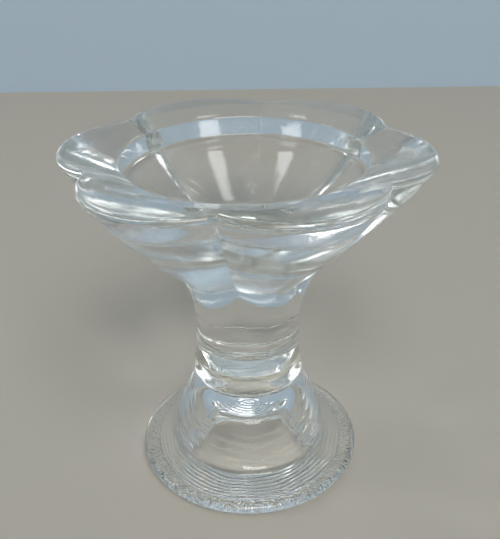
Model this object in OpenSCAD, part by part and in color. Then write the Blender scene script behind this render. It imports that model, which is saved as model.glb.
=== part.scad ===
/* [Overall] */
// Height from the table to the top of the petals
height = 60; // [58:0.5:66]
// Number of petals round the bowl
petals = 6; // [5:1:8]

/* [Bowl] */
// Distance across the bowl, from petal tip to petal tip
span_d = 61; // [58:0.5:66]
// How far the petals bulge, from 0 for a plain round bowl
petal_lobe = 0.5; // [0.3:0.05:0.55]
// Radius of the rounded lip along the petals' edge
lip_r = 1; // [0.6:0.1:1.2]
// Height of the fold where the petals meet the stem
fold_z = 40.2; // [39:0.2:41.2]
// Radius of the fold, out along a petal
fold_r = 13.2; // [12:0.1:13.8]

/* [Tealight seat] */
// Diameter of the seat's round wall, 2 mm over a standard tealight cup
seat_d = 40.2; // [39.5:0.1:41]
// Height of the seat's round wall
seat_wall = 2.6; // [2:0.1:3]
// Width of the flat ledge that carries the tealight
ledge_w = 1.2; // [0.8:0.1:2]
// Depth of the hollow below the ledge
dish_depth = 7.5; // [4:0.5:9]

/* [Stem and collar] */
// Radius of the stem where it stands on the collar
stem_r = 9.05; // [8.6:0.05:9.4]
// Radius of the collar's lower face
collar_r = 9.95; // [9.85:0.05:10.6]
// Radius of the plain band above the face
band_r = 9.55; // [9.5:0.05:9.75]
// Height of the collar's underside
collar_z = 17.6; // [17:0.2:18.2]
// Height of the collar itself
collar_h = 9.1; // [8:0.1:10]
// Height of the lower face, up to the band
face_h = 3.7; // [3.2:0.1:4.4]

/* [Foot] */
// Diameter of the foot
foot_d = 41; // [38:0.5:46]
// Thickness of the foot's flange at its edge
flange_t = 1.9; // [1.5:0.1:2.4]
// Radius of the ridge between the flange and the skirt
skirt_r = 17.3; // [16.4:0.1:17.6]
// Height of that ridge
skirt_z = 2.8; // [2.4:0.1:3.2]
// Radius of the bell where it meets the skirt
bell_r = 14.1; // [13.4:0.1:15]
// Height of the bell where it meets the skirt
bell_z = 3.9; // [3.6:0.1:4.6]
// Radius of the mouth of the hollow under the foot
hollow_r = 10.4; // [9.6:0.1:12.2]
// Height of the hollow under the foot
hollow_h = 9.9; // [8.6:0.1:10.6]
// Radius of the hollow's flat top
hollow_top_r = 4.6; // [4:0.1:5.4]

/* [Hidden] */

// A hair's breadth that keeps two curves from sharing a point
gap = 0.05;
// Points round one petal, and points along each curved stretch of a section
petal_steps = 16;
arc_steps = 6;
curve_steps = 12;

// Drafts, fillets and levels that follow from the sizes above
seat_r = seat_d / 2;
tip_r = span_d / 2;
seat_fillet = 0.6;
floor_fillet = 0.5;
// The petals' top falls a little towards the seat
top_fall = 0.9;
top_fall_w = 3.8;
seat_top_z = height - top_fall - seat_fillet;
ledge_z = seat_top_z - seat_wall - floor_fillet;
dish_r = seat_r - floor_fillet - ledge_w;
// How far the seat's cutter reaches above the rim
above = 1;
// The lobing fades in between these heights, from the round stem to the petals
lobe_low_z = 27;
lobe_high_z = 41;
collar_top_z = collar_z + collar_h;
// Radius of the arc that flares the stem from the collar up to the fold
flare_h = fold_z - collar_top_z;
flare_w = fold_r - stem_r;
flare_r = (flare_h * flare_h + flare_w * flare_w) / (2 * flare_w);
glass = [0.82, 0.9, 0.92, 0.45];

// Points on a circular arc, from angle a0 to angle a1
function arc(centre, r, a0, a1, n) =
    [for (i = [0:n]) centre + r * [cos(a0 + (a1 - a0) * i / n), sin(a0 + (a1 - a0) * i / n)]];

// One point on a cubic curve with end points a and d and handles b and c
function cubic(a, b, c, d, t) =
    pow(1 - t, 3) * a + 3 * pow(1 - t, 2) * t * b + 3 * (1 - t) * t * t * c + t * t * t * d;

// Points along such a curve
function curve(a, b, c, d, n) = [for (i = [0:n]) cubic(a, b, c, d, i / n)];

// Eases from 0 to 1 as s goes from 0 to 1
function ease(s) = let (c = min(max(s, 0), 1)) c * c * (3 - 2 * c);

// Lobing at height z
function lobe_at(z) = petal_lobe * ease((z - lobe_low_z) / (lobe_high_z - lobe_low_z));

// Radius of a foil of overlapping circles, at angle a from the middle of one of them.
// The circles' centres lie k * tip out, and their radius is (1 - k) * tip.
function foil(tip, k, a) =
    k * tip * cos(a) + sqrt(pow((1 - k) * tip, 2) - pow(k * tip * sin(a), 2));

// One closed ring of points at height z
function ring(tip, z) =
    let (half = 180 / petals, k = lobe_at(z))
    [for (i = [0:petals * petal_steps - 1])
        let (az = i * 360 / (petals * petal_steps))
        let (a = (az + half) % (2 * half) - half)
        let (r = foil(tip, k, a))
        [r * cos(az), r * sin(az), z]];

// A solid through a stack of rings, given as a list of [tip radius, height]
module stack(levels) {
    n = petals * petal_steps;
    m = len(levels);
    points = [for (level = levels) each ring(level[0], level[1])];
    sides = [for (j = [0:m - 2]) for (i = [0:n - 1])
        let (p = j * n + i, q = j * n + (i + 1) % n)
        each [[p, p + n, q + n], [p, q + n, q]]];
    base = [[for (i = [0:n - 1]) i]];
    top = [[for (i = [0:n - 1]) m * n - 1 - i]];
    polyhedron(points = points, faces = concat(base, sides, top));
}

// The petals' underside, out and up from the fold, then round the lip.
// Each handle says how far the curve leans on its way out of one end.
belly_from_fold = [5.5, 4.2];
belly_to_lip = [1.9, 4.5];
belly = curve([fold_r, fold_z], [fold_r, fold_z] + belly_from_fold,
              [tip_r, height] - belly_to_lip, [tip_r, height - lip_r], curve_steps);
lip = [for (i = [1:arc_steps])
    let (a = 90 * i / arc_steps)
    [tip_r - lip_r * (1 - cos(a)), height - lip_r * (1 - sin(a))]];

// The space cut out of the bowl: the fall of the petals, the seat, its ledge and the dish
dish_ball_r = (dish_r * dish_r + dish_depth * dish_depth) / (2 * dish_depth);
dish_half = asin(dish_r / dish_ball_r);
dish = arc([0, ledge_z - dish_depth + dish_ball_r], dish_ball_r, -90, dish_half - 90, curve_steps);
seat_floor = arc([seat_r - floor_fillet, ledge_z + floor_fillet], floor_fillet, -90, 0, arc_steps);
seat_edge = arc([seat_r + seat_fillet, seat_top_z], seat_fillet, 180, 90, arc_steps);
seat_space = concat(dish, seat_floor, seat_edge, [
    [seat_r + seat_fillet + top_fall_w, height],
    [seat_r + seat_fillet + top_fall_w, height + above],
    [0, height + above]]);

module bowl() {
    color(glass)
    difference() {
        stack(concat(belly, lip));
        rotate_extrude($fn = 120) polygon(seat_space);
    }
}

// The stem flares on one arc from the collar to the fold
module stem() {
    color(glass)
    stack([for (i = [0:curve_steps])
        let (h = flare_h * i / curve_steps)
        [stem_r + flare_r - sqrt(flare_r * flare_r - h * h), collar_top_z + h]]);
}

// The collar, upwards: a rounded lower edge, the upright face, the roll over to the band,
// the band's slight draft, and a small step in to the stem
face_edge = 0.4;
face_upright = 0.9;
roll_up = 1.15;
roll_in = 0.3;
band_draft = 0.25;
band_step = 0.9;
step_up = 0.5;
step_back = 0.4;
face_top_z = collar_z + face_h;
roll_z = collar_z + face_upright;
step_z = collar_top_z - band_step;
band_top_r = band_r - band_draft;
collar_side = concat(
    curve([collar_r - face_edge, collar_z], [collar_r - 0.1, collar_z + 0.1],
          [collar_r, collar_z + face_edge], [collar_r, roll_z], arc_steps),
    curve([collar_r, roll_z + gap], [collar_r, roll_z + gap + roll_up],
          [band_r + roll_in, face_top_z - roll_in], [band_r, face_top_z], curve_steps),
    curve([band_top_r, step_z], [band_top_r, step_z + step_up],
          [stem_r, step_z + step_back], [stem_r, collar_top_z], arc_steps));

module collar() {
    color(glass)
    rotate_extrude($fn = 120)
    polygon(concat([[0, collar_z]], collar_side, [[0, collar_top_z]]));
}

// The foot: a flat ring on the table, a thin flange, a sloping skirt, a bell and a hollow below
foot_r = foot_d / 2;
ground_r = foot_r - 1.2;
flange_mid_z = flange_t * 0.65;
flange_top = [foot_r - 1.3, flange_t + 0.35];
// The bell rises steeply, then leans in to the neck under the collar
bell_top_r = collar_r - 0.65;
bell_rise = 6.3;
neck_out = 1.6;
neck_drop = 4;
// The hollow's flat top rounds off, then its wall leans out to the mouth
hollow_round = 2.3;
mouth_in = 3;
mouth_drop = 5.3;
flange = concat([[ground_r, 0]],
    curve([foot_r - 0.5, 0.25], [foot_r, 0.5], [foot_r, 0.8], [foot_r, flange_mid_z], arc_steps),
    curve([foot_r, flange_mid_z + 0.1], [foot_r, flange_t],
          [foot_r - 0.5, flange_t + 0.1], flange_top, arc_steps),
    [[skirt_r, skirt_z]]);
bell = curve([bell_r, bell_z], [bell_r, bell_z + bell_rise],
             [bell_top_r + neck_out, collar_z - neck_drop], [bell_top_r, collar_z], curve_steps);
hollow = concat([[0, hollow_h]],
    curve([hollow_top_r, hollow_h], [hollow_top_r + hollow_round, hollow_h],
          [hollow_r - mouth_in, hollow_h - mouth_drop], [hollow_r, 0], curve_steps));

module foot() {
    color(glass)
    rotate_extrude($fn = 120)
    polygon(concat(hollow, flange, bell, [[0, collar_z]]));
}

bowl();
stem();
collar();
foot();
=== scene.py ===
import bmesh
import bpy
import numpy as np
from mathutils import Matrix, Vector


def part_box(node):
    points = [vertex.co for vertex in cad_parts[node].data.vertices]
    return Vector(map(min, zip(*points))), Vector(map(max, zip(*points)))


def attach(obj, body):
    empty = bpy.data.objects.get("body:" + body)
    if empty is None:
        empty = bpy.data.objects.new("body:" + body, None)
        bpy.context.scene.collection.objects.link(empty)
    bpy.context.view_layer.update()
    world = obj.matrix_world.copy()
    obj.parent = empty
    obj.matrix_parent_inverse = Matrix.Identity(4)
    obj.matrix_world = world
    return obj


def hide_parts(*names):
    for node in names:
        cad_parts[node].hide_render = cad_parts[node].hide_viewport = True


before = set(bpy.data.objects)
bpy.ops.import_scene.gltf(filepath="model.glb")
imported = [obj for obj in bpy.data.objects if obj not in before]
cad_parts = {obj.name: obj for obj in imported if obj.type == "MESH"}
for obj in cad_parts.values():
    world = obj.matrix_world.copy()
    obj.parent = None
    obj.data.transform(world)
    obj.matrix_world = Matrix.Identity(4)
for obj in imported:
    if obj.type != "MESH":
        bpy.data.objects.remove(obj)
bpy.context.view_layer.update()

mm = 0.001

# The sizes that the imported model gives
bowlLow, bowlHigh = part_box("bowl")
collarLow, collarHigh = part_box("collar")
footLow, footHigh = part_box("foot")
tipR, rimZ, foldZ = bowlHigh.x, bowlHigh.z, bowlLow.z
collarR, collarZ, collarTopZ = collarHigh.x, collarLow.z, collarHigh.z
footR = footHigh.x


# Points on one cubic curve: the end points a and d and the handles b and c, weighted by the powers of t and 1 - t
def cubic(a, b, c, d, steps):
    t = np.linspace(0, 1, steps + 1)[:, None]
    a, b, c, d = (np.array(p, float) for p in (a, b, c, d))
    return (1 - t) ** 3 * a + 3 * (1 - t) ** 2 * t * b + 3 * (1 - t) * t**2 * c + t**3 * d


# Points on a circular arc from one angle to another: the centre plus the radius times (cosine, sine)
def arc(centre, radius, start, end, steps):
    t = np.radians(np.linspace(start, end, steps + 1))
    return np.array(centre) + radius * np.stack([np.cos(t), np.sin(t)], 1)


# Eases from 0 to 1: three times the square of s less twice its cube
def ease(s):
    s = np.clip(s, 0, 1)
    return s * s * (3 - 2 * s)


# Radius of a foil of overlapping circles at angle a from the middle of one of them.
# The circles' centres lie lobing * tip out, and their radius is the rest of tip.
def foil(tip, lobing, a):
    out = lobing * tip
    return out * np.cos(a) + np.sqrt((tip - out) ** 2 - (out * np.sin(a)) ** 2)


holder = {
    "petals": 6,
    "petalSteps": 64,          # points round one petal
    "crowd": 0.35,             # draws those points in towards the creases
    "lobing": 0.5,             # how far the petals bulge, from 0 for a plain round bowl
    "lobeLow": 27 * mm,        # the lobing fades in between these two heights
    "lobeHigh": 41 * mm,
    "lipR": 1.0 * mm,          # the rounded edge of the petals
    "lipHandle": (1.9 * mm, 4.5 * mm),     # the underside's handle at the lip, in from the tip and down
    "foldHandle": (5.5 * mm, 4.2 * mm),    # and the one at the fold, out and up
    "foldR": 13.2 * mm,        # where the petals meet the stem
    "seatR": 20.1 * mm,        # the tealight's seat: its round wall, ledge and dish
    "seatWall": 2.6 * mm,
    "seatFillet": 0.6 * mm,
    "floorFillet": 0.5 * mm,
    "ledge": 1.2 * mm,
    "dishDepth": 7.5 * mm,
    "topFall": 0.9 * mm,       # the petals' top falls this far towards the seat
    "topFallW": 3.8 * mm,      # over this width
    "stemR": 9.05 * mm,
    "stepH": 0.9 * mm,         # the small step from stem to collar, with its handles' heights
    "stepHandles": (0.5 * mm, 0.4 * mm),
    "bandTopR": 9.3 * mm,      # the collar's plain band
    "bandR": 9.55 * mm,
    "faceH": 3.7 * mm,         # height of the collar's lower face
    "faceUpright": 0.9 * mm,   # how much of it is upright, before it rolls in to the band
    "faceEdge": 0.4 * mm,      # its rounded lower edge
    "rollUp": 1.2 * mm,        # the roll's two handles, above the face and beside the band
    "rollIn": 0.3 * mm,
    "neckR": 9.3 * mm,         # top of the bell, under the collar
    "neckHandle": (10.9 * mm, 13.6 * mm),
    "bellR": 14.1 * mm,        # foot of the bell
    "bellZ": 3.9 * mm,
    "bellHandleZ": 10.2 * mm,
    "skirtR": 17.3 * mm,       # ridge between skirt and flange
    "skirtZ": 2.8 * mm,
    "flangeT": 1.9 * mm,
    "flangeMid": 0.65,         # its widest point, as a part of its thickness
    "flangeIn": 1.3 * mm,      # where its rounded edge starts above, in from the foot's radius
    "flangeRise": 0.35 * mm,
    "groundIn": 1.2 * mm,      # and where the flat underside ends below
    "edgeIn": 0.5 * mm,
    "edgeUp": (0.25 * mm, 0.5 * mm, 0.8 * mm),
    "soften": 0.1 * mm,        # a hair's breadth that rounds the start of an edge
    "hollowR": 10.4 * mm,      # mouth of the hollow under the foot
    "hollowH": 9.9 * mm,
    "hollowTop": 4.6 * mm,     # radius of its flat top
    "hollowShoulder": 6.9 * mm,            # its wall's handles, at the top and at the mouth
    "hollowFlank": (7.4 * mm, 4.6 * mm),
}


# The holder's section as [radius, height] along a petal, from the middle of the hollow under the foot,
# out over the flange, up the outside, over the lip and down to the middle of the dish under the tealight.
# The last number in each stretch is its number of steps, with more where the curve bends light most.
def holderSection(s):
    hollow = np.concatenate([
        np.linspace([0, s["hollowH"]], [s["hollowTop"], s["hollowH"]], 5)[:-1],
        cubic([s["hollowTop"], s["hollowH"]], [s["hollowShoulder"], s["hollowH"]], s["hollowFlank"],
              [s["hollowR"], 0], 28)])
    flangeMid = s["flangeT"] * s["flangeMid"]
    flangeTop = [footR - s["flangeIn"], s["flangeT"] + s["flangeRise"]]
    ground = np.linspace([s["hollowR"], 0], [footR - s["groundIn"], 0], 13)[1:]
    edge = cubic([footR - s["edgeIn"], s["edgeUp"][0]], [footR, s["edgeUp"][1]], [footR, s["edgeUp"][2]],
                 [footR, flangeMid], 6)
    flange = cubic([footR, flangeMid + s["soften"]], [footR, s["flangeT"]],
                   [footR - s["edgeIn"], s["flangeT"] + s["soften"]], flangeTop, 6)
    slope = np.concatenate([
        np.linspace(flangeTop, [s["skirtR"], s["skirtZ"]], 6)[1:],
        np.linspace([s["skirtR"], s["skirtZ"]], [s["bellR"], s["bellZ"]], 6)[1:-1]])
    bell = cubic([s["bellR"], s["bellZ"]], [s["bellR"], s["bellHandleZ"]], s["neckHandle"],
                 [s["neckR"], collarZ], 20)
    rollZ, bandZ, stepZ = collarZ + s["faceUpright"], collarZ + s["faceH"], collarTopZ - s["stepH"]
    collar = np.concatenate([
        cubic([collarR - s["faceEdge"], collarZ], [collarR - s["soften"], collarZ + s["soften"]],
              [collarR, collarZ + s["faceEdge"]], [collarR, rollZ], 8),
        cubic([collarR, rollZ], [collarR, rollZ + s["rollUp"]],
              [s["bandR"] + s["rollIn"], bandZ - s["rollIn"]], [s["bandR"], bandZ], 16)[1:],
        np.linspace([s["bandR"], bandZ], [s["bandTopR"], stepZ], 7)[1:],
        cubic([s["bandTopR"], stepZ], [s["bandTopR"], stepZ + s["stepHandles"][0]],
              [s["stemR"], stepZ + s["stepHandles"][1]], [s["stemR"], collarTopZ], 8)[1:]])
    # the stem flares on one arc, upright where it leaves the collar
    flareH, flareW = foldZ - collarTopZ, s["foldR"] - s["stemR"]
    flareR = (flareH**2 + flareW**2) / (2 * flareW)
    h = np.linspace(0, flareH, 17)[1:-1]
    stem = np.stack([s["stemR"] + flareR - np.sqrt(flareR**2 - h**2), collarTopZ + h], 1)
    belly = cubic([s["foldR"], foldZ], [s["foldR"] + s["foldHandle"][0], foldZ + s["foldHandle"][1]],
                  [tipR - s["lipHandle"][0], rimZ - s["lipHandle"][1]], [tipR, rimZ - s["lipR"]], 28)
    lip = arc([tipR - s["lipR"], rimZ - s["lipR"]], s["lipR"], 0, 90, 8)[1:]
    outside = np.concatenate([hollow, ground, edge, flange, slope, bell, collar, stem, belly, lip])
    seatTopZ = rimZ - s["topFall"] - s["seatFillet"]
    ledgeZ = seatTopZ - s["seatWall"] - s["floorFillet"]
    dishR = s["seatR"] - s["floorFillet"] - s["ledge"]
    ballR = (dishR**2 + s["dishDepth"] ** 2) / (2 * s["dishDepth"])
    dishHalf = np.degrees(np.arcsin(dishR / ballR))
    wallBottom = [s["seatR"], ledgeZ + s["floorFillet"]]
    inside = np.concatenate([
        arc([s["seatR"] + s["seatFillet"], seatTopZ], s["seatFillet"], 90, 180, 6),
        np.linspace([s["seatR"], seatTopZ], wallBottom, 6)[1:-1],
        arc([s["seatR"] - s["floorFillet"], wallBottom[1]], s["floorFillet"], 0, -90, 6),
        arc([0, ledgeZ - s["dishDepth"] + ballR], ballR, dishHalf - 90, -90, 30)])
    brinkR = s["seatR"] + s["seatFillet"] + s["topFallW"]     # where the petals' flat top starts to fall
    return outside, brinkR, inside


# The whole skin: each ring of the section goes round the axis as a foil, whose lobing fades in up the stem.
# Between lip and seat the ring passes from the lip's foil to the seat's circle in equal steps.
def holderSkin(s):
    outside, brinkR, inside = holderSection(s)
    half = np.pi / s["petals"]
    u = (np.arange(s["petalSteps"]) / s["petalSteps"]) * 2 - 1
    a = half * (u * (1 + s["crowd"]) - s["crowd"] * u**3)
    around = np.concatenate([a + i * 2 * half for i in range(s["petals"])])
    within = np.tile(a, s["petals"])
    lobing = s["lobing"] * ease((outside[:, 1] - s["lobeLow"]) / (s["lobeHigh"] - s["lobeLow"]))
    outerR = foil(outside[:, 0:1], lobing[:, None], within[None, :])
    outerZ = np.repeat(outside[:, 1:2], len(around), 1)
    # the flat of the petals, then its fall to the seat, each in eight steps
    t = np.linspace(0, 1, 9)[1:, None]
    ringBrinkR = np.minimum(outerR[-1:], brinkR)
    flatR = outerR[-1:] + (ringBrinkR - outerR[-1:]) * t
    flatZ = np.full_like(flatR, rimZ)
    fallR = ringBrinkR + (inside[0, 0] - ringBrinkR) * t[:-1]
    slope = s["topFall"] / (brinkR - inside[0, 0])
    fallZ = rimZ - slope * (brinkR - fallR)
    innerR = np.repeat(inside[:, 0:1], len(around), 1)
    innerZ = np.repeat(inside[:, 1:2], len(around), 1)
    ringR = np.concatenate([outerR[1:], flatR, fallR, innerR[:-1]])
    ringZ = np.concatenate([outerZ[1:], flatZ, fallZ, innerZ[:-1]])
    rows, cols = ringR.shape
    grid = np.stack([ringR * np.cos(around), ringR * np.sin(around), ringZ], 2).reshape(-1, 3)
    poles = np.array([[0, 0, outside[0, 1]], [0, 0, inside[-1, 1]]])
    index = np.arange(rows * cols).reshape(rows, cols)
    nextRound = np.roll(index, -1, 1)
    walls = np.stack([index[:-1], nextRound[:-1], nextRound[1:], index[1:]], 2).reshape(-1, 4)
    bottom, top = rows * cols, rows * cols + 1
    fanLow = np.stack([np.full(cols, bottom), nextRound[0], index[0]], 1)
    fanHigh = np.stack([np.full(cols, top), index[-1], nextRound[-1]], 1)
    return np.concatenate([grid, poles]), walls.tolist() + fanLow.tolist() + fanHigh.tolist()


# A new object at the origin from points and faces
def addPiece(name, points, faces, smooth=True):
    mesh = bpy.data.meshes.new(name)
    mesh.from_pydata(points.tolist(), [], faces)
    mesh.polygons.foreach_set("use_smooth", [smooth] * len(mesh.polygons))
    mesh.update()
    piece = bpy.data.objects.new(name, mesh)
    bpy.context.scene.collection.objects.link(piece)
    return piece


# sRGB hex to linear colour
def linear(hexColour):
    c = np.array([int(hexColour[i:i + 2], 16) for i in (1, 3, 5)]) / 255
    c = np.where(c <= 0.04045, c / 12.92, ((c + 0.055) / 1.055) ** 2.4)
    return (*c.tolist(), 1.0)


# Adds one node: its settings, and for each of its inputs a value or the output that feeds it
def addNode(tree, kind, settings=None, inputs=None):
    made = tree.nodes.new(kind)
    for name, value in (settings or {}).items():
        setattr(made, name, value)
    for name, value in (inputs or {}).items():
        if isinstance(value, bpy.types.NodeSocket):
            tree.links.new(value, made.inputs[name])
        else:
            made.inputs[name].default_value = value
    return made


# A new material with an empty node tree
def newMaterial(name):
    material = bpy.data.materials.new(name)
    material.use_nodes = True
    material.node_tree.nodes.clear()
    return material, material.node_tree


glassLook = {
    "tint": "#E3EAE8",             # a faint cool green from the iron in the sand
    "tintDensity": 14.0,           # how fast it deepens, per metre of glass
    "ior": 1.52,
    "waveSize": 9 * mm,            # the slow waves that fire polishing leaves everywhere
    "waveHeight": 0.03 * mm,
    "waveRough": 0.02,
    "grainSize": 2.2 * mm,         # the mould's grain; the real one is too fine to show, so it is drawn coarser
    "grainHeight": 0.04 * mm,
    "grainRough": 0.11,
    "grainFrom": (34 * mm, 40 * mm),       # it fades in between these heights
    "petalCone": (0.5, 44 * mm),   # slope and height of a cone between the petals' two sides
    "petalFade": 1.5 * mm,
    "rippleSize": 0.75 * mm,       # rings from turning the plunger, also drawn coarser than real tool marks
    "rippleHeight": 0.02 * mm,
    "rippleWander": 14.0,          # how far the slow waves push the rings about, in radians
    "hollowCone": (0.45, 11.6 * mm),       # slope and radius of a cone between the hollow and the bell
    "hollowFade": 0.4 * mm,
    "turnedHeight": 0.028 * mm,    # the same rings, deeper, on the flat underside
    "undersideFade": (0.02 * mm, 0.06 * mm),
    "stippleSize": 0.45 * mm,      # the stippled ring under the flange, near the pitch of real stippling
    "stippleHeight": 0.16 * mm,
    "stippleFrom": (17.0 * mm, 17.4 * mm),     # it fades in between these radii
}


# Pressed soda-lime glass: clear, with slow waves from fire polishing, so what lies behind it bends softly.
# The mould's own texture stays where polishing doesn't reach: under the petals, where it makes the glass
# a little hazy, in the hollow and on the flange's underside, where it sparkles.
def pressedSodaLimeGlass(look):
    material, tree = newMaterial("pressed soda-lime glass")
    times, minus, plus = ({"operation": word} for word in ("MULTIPLY", "SUBTRACT", "ADD"))
    where = addNode(tree, "ShaderNodeTexCoord").outputs["Object"]
    z = addNode(tree, "ShaderNodeSeparateXYZ", inputs={0: where}).outputs["Z"]
    flat = addNode(tree, "ShaderNodeVectorMath", times, {0: where, 1: (1, 1, 0)}).outputs[0]
    out = addNode(tree, "ShaderNodeVectorMath", {"operation": "LENGTH"}, {0: flat}).outputs["Value"]

    # under the petals: above the stem, and below the cone
    low, high = look["grainFrom"]
    aboveStem = addNode(tree, "ShaderNodeMapRange", inputs={"Value": z, "From Min": low, "From Max": high}).outputs[0]
    slope, tall = look["petalCone"]
    lean = addNode(tree, "ShaderNodeMath", times, {0: out, 1: slope}).outputs[0]
    cone = addNode(tree, "ShaderNodeMath", plus, {0: lean, 1: tall}).outputs[0]
    depth = addNode(tree, "ShaderNodeMath", minus, {0: cone, 1: z}).outputs[0]
    belowCone = addNode(tree, "ShaderNodeMapRange",
                        inputs={"Value": depth, "From Min": 0.0, "From Max": look["petalFade"]}).outputs[0]
    petals = addNode(tree, "ShaderNodeMath", times, {0: aboveStem, 1: belowCone}).outputs[0]

    # in the hollow: inside the cone
    slope, wide = look["hollowCone"]
    lean = addNode(tree, "ShaderNodeMath", times, {0: z, 1: slope}).outputs[0]
    cone = addNode(tree, "ShaderNodeMath", minus, {0: wide, 1: lean}).outputs[0]
    depth = addNode(tree, "ShaderNodeMath", minus, {0: cone, 1: out}).outputs[0]
    hollow = addNode(tree, "ShaderNodeMapRange",
                     inputs={"Value": depth, "From Min": 0.0, "From Max": look["hollowFade"]}).outputs[0]

    # on the flat underside: a stippled ring outside, and turned rings inside it
    low, high = look["undersideFade"]
    above = addNode(tree, "ShaderNodeMapRange", inputs={"Value": z, "From Min": low, "From Max": high}).outputs[0]
    underside = addNode(tree, "ShaderNodeMath", minus, {0: 1.0, 1: above}).outputs[0]
    low, high = look["stippleFrom"]
    outer = addNode(tree, "ShaderNodeMapRange", inputs={"Value": out, "From Min": low, "From Max": high}).outputs[0]
    ring = addNode(tree, "ShaderNodeMath", times, {0: underside, 1: outer}).outputs[0]
    turned = addNode(tree, "ShaderNodeMath", minus, {0: underside, 1: ring}).outputs[0]

    waves, grain, stipple = (
        addNode(tree, "ShaderNodeTexNoise",
                inputs={"Vector": where, "Scale": 1 / look[size], "Detail": detail}).outputs[0]
        for size, detail in (("waveSize", 1.0), ("grainSize", 1.0), ("stippleSize", 0.0)))
    # ripple: the sine of height plus radius over the ring spacing, pushed about by the waves
    way = addNode(tree, "ShaderNodeMath", plus, {0: z, 1: out}).outputs[0]
    turns = addNode(tree, "ShaderNodeMath", times, {0: way, 1: 2 * np.pi / look["rippleSize"]}).outputs[0]
    push = addNode(tree, "ShaderNodeMath", times, {0: waves, 1: look["rippleWander"]}).outputs[0]
    phase = addNode(tree, "ShaderNodeMath", plus, {0: turns, 1: push}).outputs[0]
    ripple = addNode(tree, "ShaderNodeMath", {"operation": "SINE"}, {0: phase}).outputs[0]

    # height: the waves everywhere, and each texture times its mask
    height = addNode(tree, "ShaderNodeMath", times, {0: waves, 1: look["waveHeight"]}).outputs[0]
    for mask, texture, size in ((petals, grain, "grainHeight"), (hollow, ripple, "rippleHeight"),
                                (turned, ripple, "turnedHeight"), (ring, stipple, "stippleHeight")):
        tall = addNode(tree, "ShaderNodeMath", times, {0: texture, 1: look[size]}).outputs[0]
        shown = addNode(tree, "ShaderNodeMath", times, {0: mask, 1: tall}).outputs[0]
        height = addNode(tree, "ShaderNodeMath", plus, {0: height, 1: shown}).outputs[0]
    bump = addNode(tree, "ShaderNodeBump", inputs={"Strength": 1.0, "Distance": 1.0, "Height": height}).outputs[0]
    polished = addNode(tree, "ShaderNodeMath", times, {0: waves, 1: look["waveRough"]}).outputs[0]
    hazy = addNode(tree, "ShaderNodeMath", times, {0: petals, 1: look["grainRough"]}).outputs[0]
    rough = addNode(tree, "ShaderNodeMath", plus, {0: polished, 1: hazy}).outputs[0]
    shader = addNode(tree, "ShaderNodeBsdfPrincipled", inputs={
        "Base Color": (1, 1, 1, 1), "Transmission Weight": 1.0, "IOR": look["ior"],
        "Roughness": rough, "Normal": bump})
    tint = addNode(tree, "ShaderNodeVolumeAbsorption",
                   inputs={"Color": linear(look["tint"]), "Density": look["tintDensity"]})
    addNode(tree, "ShaderNodeOutputMaterial",
            inputs={"Surface": shader.outputs[0], "Volume": tint.outputs[0]})
    return material


studio = {
    "floor": "#ADA79B",
    "floorRough": 0.6,
    "floorGap": 0.2 * mm,      # the floor lies this far below the foot, so that glass and floor don't coincide
    "wall": "#B5C9DA",
    "wallRough": 0.7,
    "wallY": 0.26,
    "nearWall": "#BDB8AE",     # a wall behind the lights, so in shade, which gives the glass its darker lines
    "nearWallRough": 0.8,
    "nearWallY": -1.3,
    "nearWallHigh": 1.1,
    "reach": 3.0,
    "turn": 7,                 # degrees, so that the walls stand nearly square to the camera
    "sky": (0.8, 0.79, 0.78, 1),
    "skyStrength": 0.42,
    "lookAt": (0, 0, 0.04),
    "softboxes": {             # place, width and height in metres, watts
        "window light": ((-1.0, 0.1, 0.9), 0.25, 0.35, 2.5),
        "fill light": ((0.4, -1.2, 1.5), 1.1, 1.1, 28),
    },
}


# Matt emulsion paint, rolled on: it shows no reflections, so only the glass shines
def plainPaint(name, hexColour, roughness):
    material, tree = newMaterial(name)
    shader = addNode(tree, "ShaderNodeBsdfPrincipled",
                     inputs={"Base Color": linear(hexColour), "Roughness": roughness})
    addNode(tree, "ShaderNodeOutputMaterial", inputs={"Surface": shader.outputs[0]})
    return material


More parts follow.
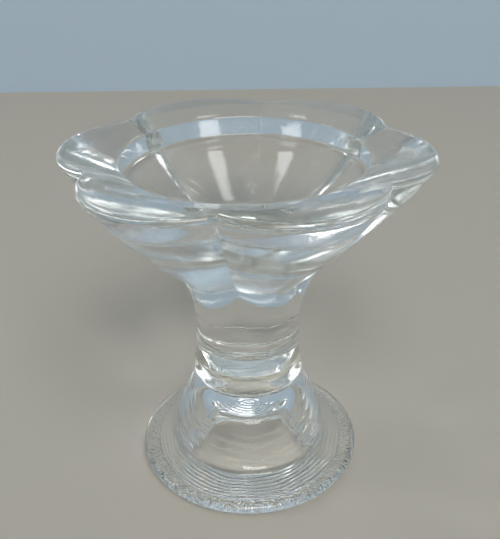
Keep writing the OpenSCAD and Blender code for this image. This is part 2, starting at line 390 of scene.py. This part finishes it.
# A floor and two walls, turned a little, a plain sky, and softboxes that all face one point
def buildStudio(s):
    r, y, z = s["reach"], s["wallY"], -s["floorGap"]
    near, high = s["nearWallY"], s["nearWallHigh"]
    sheets = {
        "floor": ([[-r, -r, z], [r, -r, z], [r, y, z], [-r, y, z]], "matt floor paint"),
        "wall": ([[-r, y, z], [-r, y, r], [r, y, r], [r, y, z]], "matt wall paint"),
        "nearWall": ([[-r, near, z], [r, near, z], [r, near, high], [-r, near, high]], "matt grey paint"),
    }
    turn = Matrix.Rotation(np.radians(s["turn"]), 3, "Z")
    for name, (corners, paint) in sheets.items():
        sheet = addPiece(name, np.array([turn @ Vector(c) for c in corners]), [[0, 1, 2, 3]], False)
        sheet.data.materials.append(plainPaint(paint, s[name], s[name + "Rough"]))
    world = bpy.data.worlds.new("studio")
    bpy.context.scene.world = world
    world.use_nodes = True
    sky = world.node_tree.nodes["Background"].inputs
    sky["Color"].default_value = s["sky"]
    sky["Strength"].default_value = s["skyStrength"]
    for name, (place, width, height, watts) in s["softboxes"].items():
        light = bpy.data.lights.new(name, "AREA")
        light.shape = "RECTANGLE"
        light.size, light.size_y, light.energy = width, height, watts
        box = bpy.data.objects.new(name, light)
        aim = (Vector(s["lookAt"]) - Vector(place)).to_track_quat("-Z", "Y")
        box.matrix_world = Matrix.Translation(place) @ aim.to_matrix().to_4x4()
        bpy.context.scene.collection.objects.link(box)


view = {
    "sensor": 36.0,
    "lens": 53.424,
    "shift": 0.0067,           # sideways, in widths of the frame
    "nearest": 1 * mm,         # nothing nearer than this is seen
    "back": 113.22 * mm,       # from the holder's axis
    "up": 99.5112 * mm,
    "turn": 8,                 # degrees round the holder
    "down": 28.6,              # degrees below level
    "roll": 1.02,
}


# The camera rolls, tips down, moves up and back, and then goes round the holder
def addCamera(v):
    lens = bpy.data.cameras.new("camera")
    lens.sensor_fit, lens.sensor_width, lens.lens = "HORIZONTAL", v["sensor"], v["lens"]
    lens.shift_x = v["shift"]
    lens.clip_start = v["nearest"]
    camera = bpy.data.objects.new("camera", lens)
    camera.matrix_world = (
        Matrix.Rotation(np.radians(v["turn"]), 4, "Z")
        @ Matrix.Translation((0, -v["back"], v["up"]))
        @ Matrix.Rotation(np.radians(90 - v["down"]), 4, "X")
        @ Matrix.Rotation(np.radians(-v["roll"]), 4, "Z"))
    bpy.context.scene.collection.objects.link(camera)
    bpy.context.scene.camera = camera


print("glass skin")
points, faces = holderSkin(holder)
skin = addPiece("tealight_holder_glass", points, faces)
shell = bmesh.new()             # merges doubles, then turns every face outwards
shell.from_mesh(skin.data)
bmesh.ops.remove_doubles(shell, verts=shell.verts, dist=1e-7)
bmesh.ops.recalc_face_normals(shell, faces=shell.faces)
shell.to_mesh(skin.data)
shell.free()
skin.data.materials.append(pressedSodaLimeGlass(glassLook))
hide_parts("bowl", "stem", "collar", "foot")
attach(skin, "root")

print("studio")
buildStudio(studio)
addCamera(view)
scene = bpy.context.scene
scene.view_settings.view_transform = "Standard"
lightPath = scene.cycles       # light turns many corners inside thick glass, and each one counts
lightPath.max_bounces = lightPath.glossy_bounces = lightPath.transmission_bounces = 24
lightPath.blur_glossy = 0.0

print("size")
